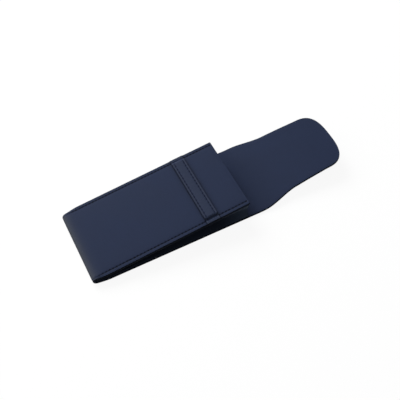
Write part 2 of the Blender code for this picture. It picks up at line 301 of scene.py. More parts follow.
# The gussets' leather is the hide's, painted darker as painted shade, with a paler colour for painted light
# at their mouth ends
SHADED_GUSSET_FINISH = {
    **HIDE_FINISH,
    "colour": (0.010, 0.014, 0.024),
    "painted_light_colour": (0.044, 0.062, 0.098),
    "specular": 0.03,
}

# Edge paint, thread and board
PAINT_LUMP_SCALE = 420
PAINT_LUMP_HEIGHT = 0.0002
PAINT_LUMP_STRENGTH = 0.25
PAINT_MOTTLE_SHARE = 0.15
PAINT_ROUGHNESS = (0.6, 0.7)
# The edge paint's pale colour is painted light at the mouth and a painted sheen round the fold
PAINT_FINISH = {"colour": (0.003, 0.004, 0.007), "pale": (0.011, 0.0155, 0.027), "specular": 0.015}
STRAP_PAINT_FINISH = {"colour": (0.009, 0.013, 0.028), "pale": (0.009, 0.013, 0.028), "specular": 0.03}
THREAD_FINISH = {
    "colour": (0.0108, 0.0154, 0.034),
    "scale": 3200,
    "detail": 2,
    "tone_shares": (0.7, 1.25),
    "height": 0.00004,
    "strength": 0.6,
    "roughness": 0.6,
    "specular": 0.03,
}
BOARD_FINISH = {
    "colour": (0.22, 0.15, 0.09),
    "scale": 900,
    "detail": 6,
    "tone_shares": (0.6, 1.3),
    "height": 0.0001,
    "strength": 0.5,
    "roughness": 0.9,
    "specular": 0.5,
}

# Worked out from the sizes above and the frame
JOINTS = {joint["name"]: Vector(joint["pos_m"]) for joint in frame["joints"]}
FOLD_LINE = JOINTS["flap_fold"]
PANEL = FOLD_LINE.z
CLOSED_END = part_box("body_leather")[0].y
HALF_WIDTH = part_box("body_leather")[1].x
SEAM_X = HALF_WIDTH - SEAM_INSET
MOUTH_Y = CLOSED_END + BODY_LENGTH
FOLD_CENTRE_Y = CLOSED_END + FOLD_RADIUS
MOUTH_REACH = math.hypot(BODY_LENGTH - FOLD_RADIUS, MOUTH_HEIGHT - FOLD_RADIUS)
MOUTH_BEARING = math.atan2(MOUTH_HEIGHT - FOLD_RADIUS, BODY_LENGTH - FOLD_RADIUS)
FRONT_PITCH = MOUTH_BEARING - math.asin(FOLD_RADIUS / MOUTH_REACH)
FRONT_RUN = math.sqrt(MOUTH_REACH ** 2 - FOLD_RADIUS ** 2)
FOLD_RUN = FOLD_RADIUS * (math.pi - FRONT_PITCH)
BACK_RUN = FOLD_LINE.y - FOLD_CENTRE_Y
FLAP_EASE_RUN = FLAP_LENGTH + FLAP_SLACK - FLAP_FLAT_RUN - FLAP_RISE_RUN - FLAP_STRAIGHT_RUN
S_FOLD = FRONT_RUN + FOLD_RUN
S_FOLD_MIDDLE = FRONT_RUN + FOLD_RADIUS * (math.pi / 2 - FRONT_PITCH)
S_SHEEN = FRONT_RUN + FOLD_RADIUS * (SHEEN_ANGLE - FRONT_PITCH)
S_HINGE = S_FOLD + BACK_RUN
S_TIP = S_HINGE + FLAP_LENGTH + FLAP_SLACK
S_SPLIT = S_HINGE + SPLIT_ALONG
S_TIP_START = S_TIP - TIP_LENGTH
SEAM_END = S_HINGE - SEAM_BACK_INSET
STRAP_NEAR = STRAP_FROM_MOUTH - STRAP_WIDTH / 2
STRAP_FAR = STRAP_FROM_MOUTH + STRAP_WIDTH / 2
STRAP_STITCHES = round(2 * (STRAP_STEP_OUT - STRAP_ROW_INSET) / STRAP_PITCH)
STRAP_ROWS = {"lower": STRAP_FAR - STRAP_SEAM_INSET, "upper": STRAP_NEAR + STRAP_SEAM_INSET}
GUSSET_DEPTH = PANEL + GLUE + GUSSET_HIDE / 2
GUSSET_START = FOLD_RADIUS - (FOLD_RADIUS - GUSSET_DEPTH) * GUSSET_START_SHARE
GUSSET_END = BODY_LENGTH - GUSSET_MOUTH_INSET
SIDES = {"left": -1, "right": 1}


# Lines and patterns


def smooth_step(share):
    held = np.clip(share, 0, 1)
    return held * held * (3 - 2 * held)


def mix(low, high, share):
    return low + (high - low) * share


def bell(distance, spread):
    """1 at no distance, falling off to about a third at the spread."""
    return np.exp(-(distance / spread) ** 2)


def step_along(y, z, heading, bend, run):
    """Where a line of constant bend is after a run."""
    half_turn = bend * run / 2
    chord = run * np.sinc(half_turn / math.pi)
    return y + chord * np.cos(heading + half_turn), z + chord * np.sin(heading + half_turn)


def lay_path(y, z, heading, runs):
    """A line of runs (length, turn), as the (s, y, z, heading, bend) where each run starts."""
    stations = []
    s = 0
    for length, turn in runs:
        bend = turn / length
        stations.append((s, y, z, heading, bend))
        y, z = step_along(y, z, heading, bend, length)
        heading += turn
        s += length
    return np.array(stations)


HIDE_PATH = lay_path(MOUTH_Y, MOUTH_HEIGHT, math.pi + FRONT_PITCH, [
    (FRONT_RUN, 0),
    (FOLD_RUN, math.pi - FRONT_PITCH),
    (BACK_RUN, 0),
    (FLAP_FLAT_RUN, 0),
    (FLAP_RISE_RUN, FLAP_RISE),
    (FLAP_STRAIGHT_RUN, 0),
    (FLAP_EASE_RUN, FLAP_EASE),
])


def on_hide(x, s, depth):
    """World points of the pattern."""
    station = HIDE_PATH[np.searchsorted(HIDE_PATH[1:, 0], s, side="right")]
    start, y, z, heading, bend = np.moveaxis(station, -1, 0)
    y, z = step_along(y, z, heading, bend, s - start)
    heading = heading + bend * (s - start)
    return np.stack([x + 0 * s, y - depth * np.sin(heading), z + depth * np.cos(heading)], axis=-1)


def fold_pinch(s):
    """How far the hide's edges are drawn in round the fold, where the gussets end."""
    near = np.clip(1 - np.abs(s - S_FOLD_MIDDLE) / FOLD_PINCH_RUN, 0, 1)
    return FOLD_PINCH * near ** FOLD_PINCH_POWER


def half_width_at(s):
    """Half the hide's width, up to the start of the rounded tip."""
    along = s - S_HINGE
    shoulder = smooth_step((along - SHOULDER_START) / (SHOULDER_END - SHOULDER_START))
    taper = np.clip((along - SHOULDER_END) / (FLAP_LENGTH - TIP_LENGTH - SHOULDER_END), 0, 1)
    narrowing = taper * (TONGUE_WIDTH - TIP_WIDTH) / 2 + fold_pinch(s)
    return mix(HALF_WIDTH, TONGUE_WIDTH / 2, shoulder) - narrowing


def squircle(a, b, power):
    """A unit square's point moved into a rounded one."""
    size = (np.abs(a) ** power + np.abs(b) ** power) ** (1 / power)
    pull = np.maximum(np.abs(a), np.abs(b)) / np.maximum(size, TINY)
    return a * pull, b * pull


def plan_columns(insets):
    """Columns as (share, shift): x is share of the width inside the edge zone, plus shift."""
    half = HALF_WIDTH - EDGE_ZONE
    count = round(half / COLUMN_STEP)
    inner = [(k / count, 0) for k in range(-count, count + 1)]
    outer = [(1, EDGE_ZONE - inset) for inset in reversed(insets)]
    return [(-share, -shift) for share, shift in reversed(outer)] + inner + outer


def plan_rows(start, end, step):
    """Evenly spaced rows from start to end."""
    count = max(1, round((end - start) / step))
    return list(np.linspace(start, end, count + 1))


def tip_rows(insets, step):
    """Rows of the rounded tip as shares of its length, after its first."""
    reach = TIP_WIDTH / 2
    plain = plan_rows(0, reach - EDGE_ZONE, step)[1:]
    return [run / reach for run in plain] + [1 - inset / reach for inset in reversed(insets)]


def plan(columns, rows, tips=(), trim=0):
    """The (x, s) of a grid on the pattern, trimmed all round: rows along the hide, then rows of the tip."""
    shares = np.array([share for share, shift in columns])
    shifts = np.array([shift for share, shift in columns])
    s = np.array(rows)[:, None] + 0 * shares
    x = shares * (half_width_at(s) - EDGE_ZONE - trim) + shifts
    cut_x = (np.abs(x) - HALF_WIDTH) / CORNER_RADIUS + 1
    cut_s = 1 - s / CORNER_RADIUS
    a, b = squircle(cut_x, cut_s, CORNER_POWER)
    corner = (cut_x > 0) & (cut_s > 0)
    x = np.where(corner, np.sign(x) * (HALF_WIDTH + (a - 1) * CORNER_RADIUS), x)
    s = np.where(corner, (1 - b) * CORNER_RADIUS, s)
    if len(tips):
        u = (shares * (TIP_WIDTH / 2 - EDGE_ZONE) + shifts) / (TIP_WIDTH / 2)
        a, b = squircle(u, np.array(tips)[:, None], TIP_POWER)
        x = np.vstack([x, a * (TIP_WIDTH / 2 - trim)])
        s = np.vstack([s, S_TIP_START + b * (TIP_LENGTH - trim)])
    return x, s


def split_rows(rows):
    """Rows of the pouch up to the split in the neck, and of the tongue from it."""
    near = [s for s in rows if s < S_SPLIT - ROW_TOLERANCE] + [S_SPLIT]
    far = [S_SPLIT] + [s for s in rows if s > S_SPLIT + ROW_TOLERANCE]
    return near, far


def wave(x, s, height, length, seed):
    """Slow undulation of soft leather."""
    points = np.stack([x / length, s / length], axis=-1).reshape(-1, 2)
    values = [noise.noise((px, ps, seed)) for px, ps in points]
    return height * np.array(values).reshape(x.shape)


# Meshes


def finish_mesh(name, vertices, faces, material, sharp=SHARP_ANGLE):
    mesh = bpy.data.meshes.new(name)
    mesh.from_pydata(vertices.tolist(), [], faces)
    mesh.update()
    mesh.shade_smooth()
    mesh.set_sharp_from_angle(angle=sharp)
    mesh.materials.append(material)
    item = bpy.data.objects.new(name, mesh)
    bpy.context.scene.collection.objects.link(item)
    return item


def add_painted_light(item, *tones):
    """Keeps the painted light and shade of each of a mesh's points, given in their order."""
    layer = item.data.attributes.new("painted_light", "FLOAT", "POINT")
    layer.data.foreach_set("value", np.concatenate([tone.ravel() for tone in tones]).astype(np.float32))


def closed_sheet(name, outer, inner, material, flip=False):
    """A closed sheet between two grids of points.

    The outer one looks along (next row) x (next column), or the other way if flipped.
    """
    rows, columns = outer.shape[:2]
    total = rows * columns
    index = np.arange(total).reshape(rows, columns)
    corners = [index[:-1, :-1], index[1:, :-1], index[1:, 1:], index[:-1, 1:]]
    outside = np.stack(corners, axis=-1).reshape(-1, 4)
    border = np.concatenate([index[0], index[1:, -1], index[-1, -2::-1], index[-2:0:-1, 0]])
    following = np.roll(border, -1)
    walls = np.column_stack([border, following, following + total, border + total])
    faces = np.vstack([outside, outside[:, ::-1] + total, walls])
    if flip:
        faces = faces[:, ::-1]
    vertices = np.vstack([outer.reshape(-1, 3), inner.reshape(-1, 3)])
    return finish_mesh(name, vertices, faces.tolist(), material)


def sheet(name, x, s, outer, inner, material):
    """A closed sheet of leather between two depths over a grid of the pattern."""
    return closed_sheet(name, on_hide(x, s, outer), on_hide(x, s, inner), material)


def tube(rings, closed):
    """Faces round a run of rings: joined end to start if closed, else capped."""
    count, size = rings.shape[:2]
    faces = []
    for k in range(count if closed else count - 1):
        following = (k + 1) % count
        for j in range(size):
            beside = (j + 1) % size
            faces.append((k * size + j, k * size + beside, following * size + beside, following * size + j))
    if not closed:
        faces.append(tuple(reversed(range(size))))
        faces.append(tuple((count - 1) * size + j for j in range(size)))
    return faces


def edge_paint(name, x, s, outer, inner, material, closed=False):
    """Paint along an edge whose points keep the leather on their left.

    It rounds over both faces, and its painted light is 1 where it is painted paler: painted light at the
    mouth and a painted sheen round the fold.
    """
    points = np.stack([x, s], axis=-1)
    if closed:
        along = np.roll(points, -1, axis=0) - np.roll(points, 1, axis=0)
    else:
        along = np.gradient(points, axis=0)
    along = along / np.linalg.norm(along, axis=1, keepdims=True)
    turns = math.pi * (0.5 - np.arange(PAINT_STEPS + 1) / PAINT_STEPS)
    bulges = np.cos(turns) ** PAINT_POWER
    levels = np.copysign(np.abs(np.sin(turns)) ** PAINT_POWER, turns)
    shifts = (PAINT_REACH + PAINT_PROUD) * bulges - PAINT_REACH
    thick = (inner - outer + 2 * PAINT_PROUD)[:, None]
    middle = ((inner + outer) / 2)[:, None]
    px = x[:, None] + along[:, 1:] * shifts
    ps = s[:, None] - along[:, :1] * shifts
    rings = on_hide(px, ps, middle + levels * thick / 2)
    item = finish_mesh(name, rings.reshape(-1, 3), tube(rings, closed), material, PAINT_SHARP_ANGLE)
    # Painted light at the mouth, and a painted sheen round the fold
    pale = smooth_step(1 - s / PAINT_MOUTH_LIGHT_RUN) + PAINT_FOLD_SHEEN_SHARE * folded_share(s)
    add_painted_light(item, np.repeat(pale, len(turns)))
    return item


def stitch_rings(x, s, run_x, run_s, pitch, surface):
    """Rings of one stitch centred at (x, s), along the unit direction (run_x, run_s)."""
    place = np.linspace(-1, 1, STITCH_RINGS)[:, None]
    angles = np.linspace(0, 2 * math.pi, STITCH_SIDES, endpoint=False)
    along = place * pitch * STITCH_SHARE / 2
    depth = surface + THREAD_SINK + THREAD_DIVE * np.abs(place) ** THREAD_DIVE_POWER
    radius = THREAD_RADIUS * (1 - STITCH_THIN_SHARE * np.abs(place) ** STITCH_THIN_POWER)
    ply = radius * (1 + PLY_SHARE * np.cos(2 * (angles - PLY_TURN * place)))
    across = math.tan(STITCH_SLANT) * along + ply * np.cos(angles)
    px = x + run_x * along - run_s * across
    ps = s + run_s * along + run_x * across
    return on_hide(px, ps, depth + ply * np.sin(angles))


def stitches(name, places, material):
    """A row of stitches as one piece. Each place is (x, s, run_x, run_s, pitch, surface depth)."""
    vertices = []
    faces = []
    for place in places:
        rings = stitch_rings(*place)
        base = len(vertices) * STITCH_RINGS * STITCH_SIDES
        vertices.append(rings.reshape(-1, 3))
        faces += [tuple(base + index for index in face) for face in tube(rings, closed=False)]
    return finish_mesh(name, np.vstack(vertices), faces, material)


# Form and tone of the hide


def seam_share(s):
    """1 along the side seams, fading out at their ends."""
    start = smooth_step((s - SEAM_START + SEAM_FADE) / SEAM_FADE)
    return start * smooth_step((SEAM_END + SEAM_FADE - s) / SEAM_FADE)


def folded_share(s):
    """1 where the hide is bent round the closed end, fading out on the flat before and after it."""
    fade = FOLD_LEAD + FOLD_RADIUS
    return smooth_step((s - FRONT_RUN + FOLD_LEAD) / fade) * smooth_step((S_FOLD + FOLD_LEAD - s) / fade)


def edge_fall(inset, fall):
    """How far a face has rounded down this far in from its edge."""
    return fall * bell(inset, EDGE_FALL_SPREAD)


def outer_fall(s):
    """How far the hide's outer face rounds down at its edge. It dips in front of the closed end."""
    return EDGE_FALL + CORNER_FALL * bell(s - FRONT_RUN + CORNER_FALL_LEAD, CORNER_FALL_SPREAD)


def holes(along, pitch, beside):
    """1 in the awl holes, at whole pitches along a row, falling to 0 round them."""
    near = (0.5 + 0.5 * np.cos(2 * math.pi * along / pitch)) ** HOLE_POWER
    return near * bell(beside, HOLE_SPREAD)


def seam_holes(x, s):
    near = holes(s - SEAM_START, SEAM_PITCH, np.abs(x) - SEAM_X) * seam_share(s)
    return near * mix(1, FOLD_GROOVE_SHARE, folded_share(s))


def seam_groove(x, s):
    """How deep the hide is drawn in along the side seams, less so round the fold."""
    groove = GROOVE_DEPTH * bell(np.abs(x) - SEAM_X, GROOVE_SPREAD) * seam_share(s)
    return groove * mix(1, FOLD_GROOVE_SHARE, folded_share(s)) + HOLE_PULL * seam_holes(x, s)


def hide_depth(x, s):
    """Depth of the hide's outer face: drawn in at the seams, rounded at its edges, crowned and wavy.

    What lies on the floor is drawn in by the height of the waves, so that they stay above it.
    """
    pull = SEAM_PULL * bell(np.abs(x) - SEAM_X, SEAM_PULL_SPREAD) * seam_share(s) * (1 - folded_share(s))
    sunk = seam_groove(x, s) + pull
    inside = np.clip(1 - (x / SEAM_X) ** 2, 0, 1) ** FRONT_CROWN_POWER
    front = smooth_step(s / CROWN_MOUTH_RUN) * smooth_step((FRONT_RUN - s) / CROWN_FOLD_RUN)
    crown = FRONT_CROWN * inside * front
    sink = edge_fall(half_width_at(s) - np.abs(x), outer_fall(s))
    risen = smooth_step((S_HINGE + FLAP_FLAT_RUN - s) / FLAP_RISE_RUN + 1)
    lying = smooth_step((s - FRONT_RUN) / FOLD_RUN) * risen
    return sunk - crown + sink + wave(x, s, WAVE_HEIGHT, WAVE_LENGTH, HIDE_SEED) + WAVE_HEIGHT * lying


def lining_depth(x, s):
    """Depth of the lining's inner face."""
    flap = smooth_step((s - S_HINGE) / FLAP_WAVE_LEAD)
    height = mix(WAVE_HEIGHT, FLAP_WAVE_HEIGHT, flap)
    sink = edge_fall(half_width_at(s) - np.abs(x), EDGE_FALL)
    return PANEL - sink + wave(x, s, height, WAVE_LENGTH, LINING_SEED)


def hide_painted_light(x, s):
    """Painted light and shade of the hide: painted shade below 0 in grooves, holes and beside the strap, a
    painted sheen above 0 round the closed end.
    """
    # A painted sheen round the closed end's fold
    sheen = np.exp(-(np.abs(s - S_SHEEN) / SHEEN_SPREAD) ** SHEEN_POWER)
    # A painted shadow in a line along the strap's edges, and painted shade spread beside it
    beside = np.maximum(np.abs(s - STRAP_FROM_MOUTH) - STRAP_WIDTH / 2, 0)
    shadow_line = STRAP_SHADOW_LINE_SHARE * bell(beside, STRAP_SHADOW_LINE_SPREAD)
    shade = STRAP_SHADE_SHARE * bell(beside, STRAP_SHADE_SPREAD)
    groove_and_hole_shade = GROOVE_SHADE_SHARE * seam_groove(x, s) / GROOVE_DEPTH + HOLE_SHADE_SHARE * seam_holes(x, s)
    return np.maximum(sheen - groove_and_hole_shade - shadow_line - shade, -1)


# Leather pieces


def make_hide(material):
    """The hide of body and neck, and that of the tongue."""
    columns = plan_columns(EDGE_INSETS)
    count = math.floor((SEAM_END - SEAM_START) / SEAM_ROW_STEP)
    rows = [inset for inset in PLAIN_EDGE_INSETS if inset < SEAM_START]
    rows += [SEAM_START + k * SEAM_ROW_STEP for k in range(count + 1)]
    rows += plan_rows(rows[-1], S_TIP_START, FLAP_ROW_STEP)[1:]
    near, far = split_rows(rows)
    x, s = plan(columns, near)
    pouch = sheet("pouch_hide", x, s, hide_depth(x, s), HIDE + 0 * x, material)
    tones = hide_painted_light(x, s)
    add_painted_light(pouch, tones, 0 * tones)
    x, s = plan(columns, far, tip_rows(PLAIN_EDGE_INSETS, FLAP_ROW_STEP))
    tongue = sheet("tongue_hide", x, s, hide_depth(x, s), HIDE + 0 * x, material)
    return pouch, tongue


def make_lining(material):
    """The lining of body and neck, and that of the tongue."""
    columns = plan_columns(PLAIN_EDGE_INSETS)
    rows = list(PLAIN_EDGE_INSETS) + plan_rows(EDGE_ZONE, FRONT_RUN, LINING_ROW_STEP)
    rows += plan_rows(FRONT_RUN, S_FOLD, FOLD_RUN / LINING_FOLD_ROWS)[1:]
    rows += plan_rows(S_FOLD, S_HINGE - FLAP_ROW_STEP, LINING_ROW_STEP)[1:]
    rows += plan_rows(S_HINGE - FLAP_ROW_STEP, S_TIP_START, FLAP_ROW_STEP)[1:]
    near, far = split_rows(rows)
    x, s = plan(columns, near)
    pouch = sheet("pouch_lining", x, s, LINING_DEPTH + 0 * x, lining_depth(x, s), material)
    x, s = plan(columns, far, tip_rows(PLAIN_EDGE_INSETS, FLAP_ROW_STEP))
    tongue = sheet("tongue_lining", x, s, LINING_DEPTH + 0 * x, lining_depth(x, s), material)
    return pouch, tongue


def make_tongue_board(material):
    """The board in the tongue, bent as the open tongue lies."""
    rows = plan_rows(S_HINGE + BOARD_START, S_TIP_START, LINING_ROW_STEP)
    tips = tip_rows(PLAIN_EDGE_INSETS, LINING_ROW_STEP)
    x, s = plan(plan_columns(PLAIN_EDGE_INSETS), rows, tips, BOARD_INSET)
    return sheet("tongue_board", x, s, BOARD_DEPTH + 0 * x, BOARD_DEPTH + BOARD + 0 * x, material)


def outline_lines():
    """The pattern's edge as two runs of points: round the mouth's end, and round the tip."""
    columns = [(-1, -EDGE_ZONE), (1, EDGE_ZONE)]
    rows = plan_rows(0, CORNER_RADIUS, CORNER_RADIUS / CORNER_ROWS)
    rows += plan_rows(CORNER_RADIUS, FRONT_RUN, PAINT_ROW_STEP)[1:]
    rows += plan_rows(FRONT_RUN, S_FOLD, FOLD_RUN / PAINT_FOLD_ROWS)[1:]
    rows += plan_rows(S_FOLD, S_TIP_START, FLAP_ROW_STEP)[1:]
    near, far = split_rows(rows)
    across = plan_columns(PAINT_INSETS)
    x, s = plan(columns, near)
    mouth_x, mouth_s = plan(across, [0])
    pouch = (
        np.concatenate([x[::-1, 0], mouth_x[0, 1:-1], x[:, 1]]),
        np.concatenate([s[::-1, 0], mouth_s[0, 1:-1], s[:, 1]]),
    )
    x, s = plan(columns, far, plan_rows(0, 1, PAINT_TIP_STEP_SHARE)[1:])
    crown_x, crown_s = plan(across, [S_TIP_START], [1])
    tongue = (
        np.concatenate([x[:, 1], crown_x[-1, -2:0:-1], x[::-1, 0]]),
        np.concatenate([s[:, 1], crown_s[-1, -2:0:-1], s[::-1, 0]]),
    )
    return pouch, tongue


def make_edge_paint(material):
    made = []
    for name, (x, s) in zip(("pouch_edge_paint", "tongue_edge_paint"), outline_lines()):
        made.append(edge_paint(name, x, s, outer_fall(s), PANEL - EDGE_FALL + 0 * x, material))
    return made


# Gussets


def gusset_levels(y):
    """Heights of the middles of the lower and upper flange at y, measured from the closed end."""
    radius = FOLD_RADIUS - GUSSET_DEPTH
    reach = math.sqrt(max(radius ** 2 - (FOLD_RADIUS - y) ** 2, 0))
    tangent_y = FOLD_RADIUS - radius * math.sin(FRONT_PITCH)
    tangent_z = FOLD_RADIUS + radius * math.cos(FRONT_PITCH)
    low = GUSSET_DEPTH if y > FOLD_RADIUS else FOLD_RADIUS - reach
    high = tangent_z + (y - tangent_y) * math.tan(FRONT_PITCH) if y > tangent_y else FOLD_RADIUS + reach
    return low, high


def gusset_section(y, mouth_half_height):
    """(x, z) points of a gusset's middle at y: flange, turn, wall, pleat, wall, turn, flange."""
    low, high = gusset_levels(y)
    half_height = (high - low) / 2
    pinch = float(fold_pinch(S_FOLD - FOLD_RADIUS + y))
    outer = HALF_WIDTH - GUSSET_SET_IN - GUSSET_HIDE / 2 - pinch
    centre_x = outer - GUSSET_TURN
    centre_z = half_height - GUSSET_TURN
    wall = mouth_half_height * PLEAT_SLACK_SHARE
    shallowest = 2 * GUSSET_TURN + PLEAT_CREASE
    rise = smooth_step((half_height - shallowest) / PLEAT_RISE)
    apex_x = outer - math.sqrt(wall ** 2 - half_height ** 2) * rise
    apex_z = min(PLEAT_CREASE, half_height / 2)
    reach = math.hypot(apex_x - centre_x, apex_z - centre_z)
    bearing = math.atan2(apex_z - centre_z, apex_x - centre_x)
    leave = bearing + math.acos(min(GUSSET_TURN / reach, 1))
    if bearing > math.pi / 2:
        leave -= 2 * math.pi
    flange = [mix(outer - GUSSET_FLANGE, centre_x, k / FLANGE_STEPS) for k in range(FLANGE_STEPS)]
    half = [(x, half_height) for x in flange]
    for k in range(TURN_STEPS + 1):
        angle = mix(math.pi / 2, leave, k / TURN_STEPS)
        half.append((centre_x + GUSSET_TURN * math.cos(angle), centre_z + GUSSET_TURN * math.sin(angle)))
    start_x, start_z = half[-1]
    soft = smooth_step((y - PLEAT_SOFT_START) / (BODY_LENGTH - PLEAT_SOFT_START))
    for k in range(1, WALL_STEPS):
        share = k / WALL_STEPS
        bowed = mix(start_x, apex_x, share) + WALL_BOW_SHARE * reach * math.sin(math.pi * share)
        rounded = mix(start_x, apex_x, 0.5 - 0.5 * math.cos(math.pi * share))
        half.append((mix(bowed, rounded, soft), mix(start_z, apex_z, share)))
    half.append((apex_x - PLEAT_CREASE / 4, apex_z))
    middle = (low + high) / 2
    upper = [(x, middle + z) for x, z in half]
    lower = [(x, middle - z) for x, z in reversed(half)]
    return upper + [(apex_x - PLEAT_CREASE / 2, middle)] + lower


def gusset_middle(side):
    """A gusset's middle with its waves, as a grid of points from the closed end on, and its normals."""
    low, high = gusset_levels(GUSSET_END)
    rows = []
    for k in range(GUSSET_ROWS + 1):
        y = mix(GUSSET_START, GUSSET_END, (k / GUSSET_ROWS) ** GUSSET_ROW_POWER)
        section = gusset_section(y, (high - low) / 2)
        rows.append([(side * x, CLOSED_END + y, z) for x, z in section])
    surface = np.array(rows)
    normal = np.cross(np.gradient(surface, axis=1), np.gradient(surface, axis=0)) * side
    normal /= np.maximum(np.linalg.norm(normal, axis=-1, keepdims=True), TINY)
    y = surface[:, :, 1]
    z = surface[:, :, 2]
    count = surface.shape[1]
    turned = FLANGE_STEPS + TURN_STEPS
    on_wall = np.clip((np.arange(count) - turned) / (count - 1 - 2 * turned), 0, 1)
    tall = smooth_step((y - CLOSED_END - GUSSET_WAVE_START) / GUSSET_WAVE_LEAD)
    stretched = z * GUSSET_WAVE_STRETCH_SHARE
    ripple = wave(y, stretched, GUSSET_WAVE_HEIGHT, GUSSET_WAVE_LENGTH, GUSSET_SEED + side)
    return surface + normal * (ripple * np.sin(math.pi * on_wall) * tall)[..., None], normal


def make_gusset(side_name, side, material):
    middle, normal = gusset_middle(side)
    half = normal * GUSSET_HIDE / 2
    name = f"gusset_{side_name}_leather"
    gusset = closed_sheet(name, middle + half, middle - half, material, flip=side > 0)
    run = middle[:, :, 1] - CLOSED_END
    # Painted light towards the gusset's mouth end, and painted shade towards its closed end
    mouth_light = GUSSET_MOUTH_LIGHT_SHARE * smooth_step((run - GUSSET_END) / GUSSET_MOUTH_LIGHT_RUN + 1)
    tones = mouth_light + GUSSET_END_SHADE_SHARE * smooth_step(1 - (run - GUSSET_START) / GUSSET_END_SHADE_RUN)
    add_painted_light(gusset, tones, tones)
    return gusset


# Strap


def strap_level(x, end, middle):
    """Height of one of the strap's faces over the flat front. Its ends lie on the rounded edges."""
    raised = smooth_step((STRAP_STEP_OUT - np.abs(x)) / (STRAP_STEP_OUT - STRAP_STEP_IN))
    return mix(end - edge_fall(HALF_WIDTH - np.abs(x), EDGE_FALL), middle, raised)


def strap_under(x):
    return strap_level(x, GLUE, STRAP_RAISE)


def strap_over(x):
    """Height of the strap's top, before its seams are drawn in."""
    return strap_level(x, STRAP_END_TOP, STRAP_TOP)


def strap_inner_share(x):
    """1 between the strap's sewn ends, 0 on them."""
    return smooth_step((STRAP_STEP_OUT - np.abs(x)) / STRAP_INNER_RUN)


def strap_holes(x, beside):
    return holes(x - STRAP_ROW_SHIFT + STRAP_STITCHES * STRAP_PITCH / 2, STRAP_PITCH, beside)


def strap_height(x, s):
    """Height of the strap's top: drawn in at its seams, rounded at its edges, crowned and wavy."""
    from_middle = np.abs(s - STRAP_FROM_MOUTH)
    inner = strap_inner_share(x)
    top = strap_over(x) - inner * edge_fall(STRAP_WIDTH / 2 - from_middle, STRAP_EDGE_FALL)
    for row in STRAP_ROWS.values():
        groove = STRAP_GROOVE_DEPTH * bell(s - row, STRAP_GROOVE_SPREAD)
        top = top - inner * (groove + HOLE_PULL * strap_holes(x, s - row))
    crown = np.clip(1 - (from_middle / (STRAP_WIDTH / 2 - STRAP_SEAM_INSET)) ** 2, 0, 1)
    top = top + inner * STRAP_CROWN * crown
    top = top - STRAP_END_GROOVE * bell(np.abs(x) - SEAM_X, GROOVE_SPREAD)
    return top + wave(x, s, WAVE_HEIGHT * STRAP_WAVE_SHARE, WAVE_LENGTH / 2, STRAP_SEED)


def strap_painted_light(x, s):
    """Painted light and shade of the strap: a painted sheen all over, painted highlights along its rims,
    and painted shade in its grooves and holes.
    """
    inset = STRAP_WIDTH / 2 - np.abs(s - STRAP_FROM_MOUTH)
    rim_highlight = STRAP_RIM_HIGHLIGHT_SHARE * bell(inset - STRAP_RIM_INSET, STRAP_RIM_SPREAD)
    tone = STRAP_SHEEN_SHARE + rim_highlight - HOLE_SHADE_SHARE * seam_holes(x, s)
    inner = strap_inner_share(x)
    for row in STRAP_ROWS.values():
        tone = tone - inner * STRAP_GROOVE_SHADE_SHARE * bell(s - row, STRAP_GROOVE_SPREAD)
        tone = tone - inner * STRAP_HOLE_SHADE_SHARE * strap_holes(x, s - row)
    return np.maximum(tone, -1)


def make_strap_leather(material):
    """The strap, whose columns between its ends follow the pitch of its stitches."""
    reach = HALF_WIDTH - EDGE_ZONE
    first = math.ceil((-reach - STRAP_ROW_SHIFT) / STRAP_COLUMN_STEP)
    last = math.floor((reach - STRAP_ROW_SHIFT) / STRAP_COLUMN_STEP)
    inner = [STRAP_ROW_SHIFT + k * STRAP_COLUMN_STEP for k in range(first, last + 1)]
    edge = [HALF_WIDTH - inset for inset in reversed(EDGE_INSETS)]
    columns = np.array([-place for place in reversed(edge)] + inner + edge)
    near = [STRAP_NEAR + inset for inset in STRAP_INSETS]
    far = [STRAP_FAR - inset for inset in reversed(STRAP_INSETS)]
    rows = near + plan_rows(near[-1], far[0], STRAP_ROW_STEP)[1:-1] + far
    s = np.array(rows)[:, None] + 0 * columns
    x = columns + 0 * s
    strap = sheet("strap_leather", x, s, -strap_height(x, s), -strap_under(x), material)
    tones = strap_painted_light(x, s)
    add_painted_light(strap, tones, 0 * tones)
    return strap


def make_strap_paint(material):
    reach = HALF_WIDTH - EDGE_ZONE
    across = np.array([share * reach + shift for share, shift in plan_columns(STRAP_PAINT_INSETS)])
    down = np.array(plan_rows(STRAP_NEAR, STRAP_FAR, STRAP_PAINT_STEP))[1:-1]
    x = np.concatenate([across, HALF_WIDTH + 0 * down, across[::-1], -HALF_WIDTH + 0 * down])
    s = np.concatenate([STRAP_NEAR + 0 * across, down, STRAP_FAR + 0 * across, down[::-1]])
    return edge_paint("strap_edge_paint", x, s, -strap_over(x), -strap_under(x), material, closed=True)


# Rows of stitches


def side_stitches(side, start, end):
    """Stitches of a side seam between two places along it, each in its groove or on the strap."""
    first = math.ceil((start - SEAM_START) / SEAM_PITCH)
    last = math.floor((end - SEAM_START) / SEAM_PITCH)
    s = SEAM_START + (np.arange(first, last) + 0.5) * SEAM_PITCH
    x = np.full(len(s), side * SEAM_X)
    on_strap = (s > STRAP_NEAR) & (s < STRAP_FAR)
    in_groove = hide_depth(x, s) + FOLD_THREAD_SINK * folded_share(s)
    surface = np.where(on_strap, -strap_height(x, s), in_groove)
    return [(side * SEAM_X, place, 0, 1, SEAM_PITCH, depth) for place, depth in zip(s, surface)]


def strap_stitches(row):
    """Stitches along the strap, in the groove that lies this far from the mouth's edge."""
    x = STRAP_ROW_SHIFT + (np.arange(STRAP_STITCHES) + 0.5 - STRAP_STITCHES / 2) * STRAP_PITCH
    surface = -strap_height(x, np.full(len(x), row))
    return [(place, row, 1, 0, STRAP_PITCH, depth) for place, depth in zip(x, surface)]


